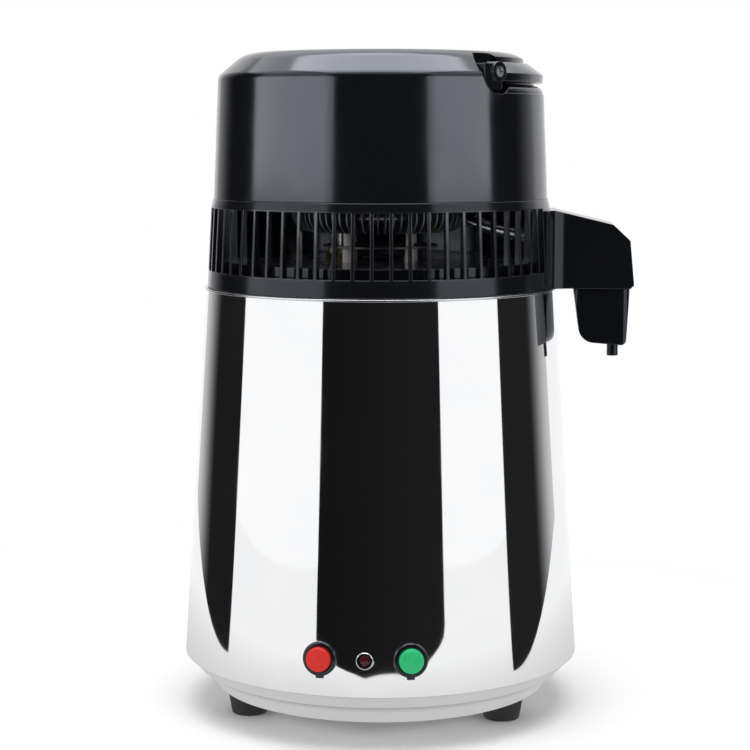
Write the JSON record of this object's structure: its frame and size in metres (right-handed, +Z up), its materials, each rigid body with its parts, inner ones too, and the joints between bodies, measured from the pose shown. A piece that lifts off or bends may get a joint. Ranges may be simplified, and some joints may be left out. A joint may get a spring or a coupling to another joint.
{
  "type": "countertop water distiller",
  "caption": "Steel kettle body with a lift-off black condenser head, ribbed vent ring, folding carry handle, drip spout with filter cup, push-buttons and lamp.",
  "frame": {"origin": "on the axis of the body, on the plane that the three feet stand on", "axes": "+Z up along the axis of the body, -Y to the front with the buttons, +X along the spout"},
  "size_m": [0.2582, 0.2331, 0.3736],
  "materials": {
    "polished_steel": "mirror polished",
    "tank_steel": "satin",
    "satin_metal": "satin",
    "zinc_steel": "zinc plated",
    "heater_metal": "dull",
    "ceramic": "matte",
    "black_gloss": "gloss",
    "black_matte": "matte",
    "foot_rubber": "matte",
    "red_cap": "gloss",
    "green_cap": "gloss",
    "chrome_trim": "polished",
    "red_lens": "gloss",
    "silicone": "matte",
    "brass_fitting": "satin",
    "fin_aluminium": "satin",
    "pale_plastic": "matte",
    "motor_paint": "satin"
  },
  "bodies": {
    "boiler": {"outer_shell": "polished_steel", "boiling_tank": "tank_steel", "tank_floor": "tank_steel", "heater_plate": "satin_metal", "heater_ring": "heater_metal", "thermostat": "ceramic", "thermal_cutout": "black_matte", "base_ring": "satin_metal", "base_plate": "zinc_steel", "base_screws": "zinc_steel", "tie_stud": "zinc_steel", "tie_nut": "zinc_steel", "foot_front_left": "foot_rubber", "foot_front_right": "foot_rubber", "foot_rear": "foot_rubber", "foot_screws": "zinc_steel", "power_inlet": "black_matte", "inlet_pins": "zinc_steel", "stop_bezel": "black_gloss", "stop_nut": "zinc_steel", "stop_switch": "black_matte", "stop_spring": "zinc_steel", "start_bezel": "black_gloss", "start_nut": "zinc_steel", "start_switch": "black_matte", "start_spring": "zinc_steel", "lamp_bezel": "chrome_trim", "lamp_lens": "red_lens", "lamp_body": "ceramic", "lamp_nut": "zinc_steel"},
    "stop_button": {"stop_cap": "red_cap"},
    "start_button": {"start_cap": "green_cap"},
    "head": {"lid_seal": "silicone", "steam_lid": "tank_steel", "lid_screws": "zinc_steel", "steam_fitting": "brass_fitting", "vent_ring": "black_gloss", "dome_cover": "black_gloss", "dome_screws": "zinc_steel", "fan_inlet": "black_matte", "fan_inlet_pins": "zinc_steel", "handle_screws": "zinc_steel", "spout_arm": "black_gloss", "spout_screws": "zinc_steel", "condenser_tube": "tank_steel", "condenser_fins": "fin_aluminium", "heat_shield": "black_matte", "fan_posts": "pale_plastic", "motor_plate": "zinc_steel", "motor_can": "motor_paint", "motor_bush": "brass_fitting"},
    "fan": {"motor_shaft": "zinc_steel", "fan_blades": "black_matte", "fan_nut": "zinc_steel"},
    "handle": {"carry_handle": "black_gloss"},
    "cup": {"filter_cup": "black_gloss", "carbon_cartridge": "pale_plastic"}
  },
  "joints": [
    {"name": "head_lift", "type": "slide", "parent": "boiler", "child": "head", "axis": [0, 0, 1], "range_m": [0, 0.16]},
    {"name": "handle_fold", "type": "hinge", "parent": "head", "child": "handle", "pos_m": [0, 0, 0.3616], "axis": [0.7431, -0.6691, 0], "range_deg": [0, 90]},
    {"name": "fan_spin", "type": "hinge", "parent": "head", "child": "fan", "pos_m": [0, 0, 0.3472], "axis": [0, 0, 1], "continuous": true},
    {"name": "cup_pull", "type": "slide", "parent": "head", "child": "cup", "axis": [0, 0, -1], "range_m": [0, 0.05]},
    {"name": "stop_press", "type": "slide", "parent": "boiler", "child": "stop_button", "axis": [0.2143, 0.9746, -0.0651], "range_m": [0, 0.0025], "stiffness_N_per_m": 300, "springref_m": -0.004, "deforming": ["stop_spring"]},
    {"name": "start_press", "type": "slide", "parent": "boiler", "child": "start_button", "axis": [-0.2143, 0.9746, -0.0651], "range_m": [0, 0.0025], "stiffness_N_per_m": 300, "springref_m": -0.004, "deforming": ["start_spring"]}
  ]
}
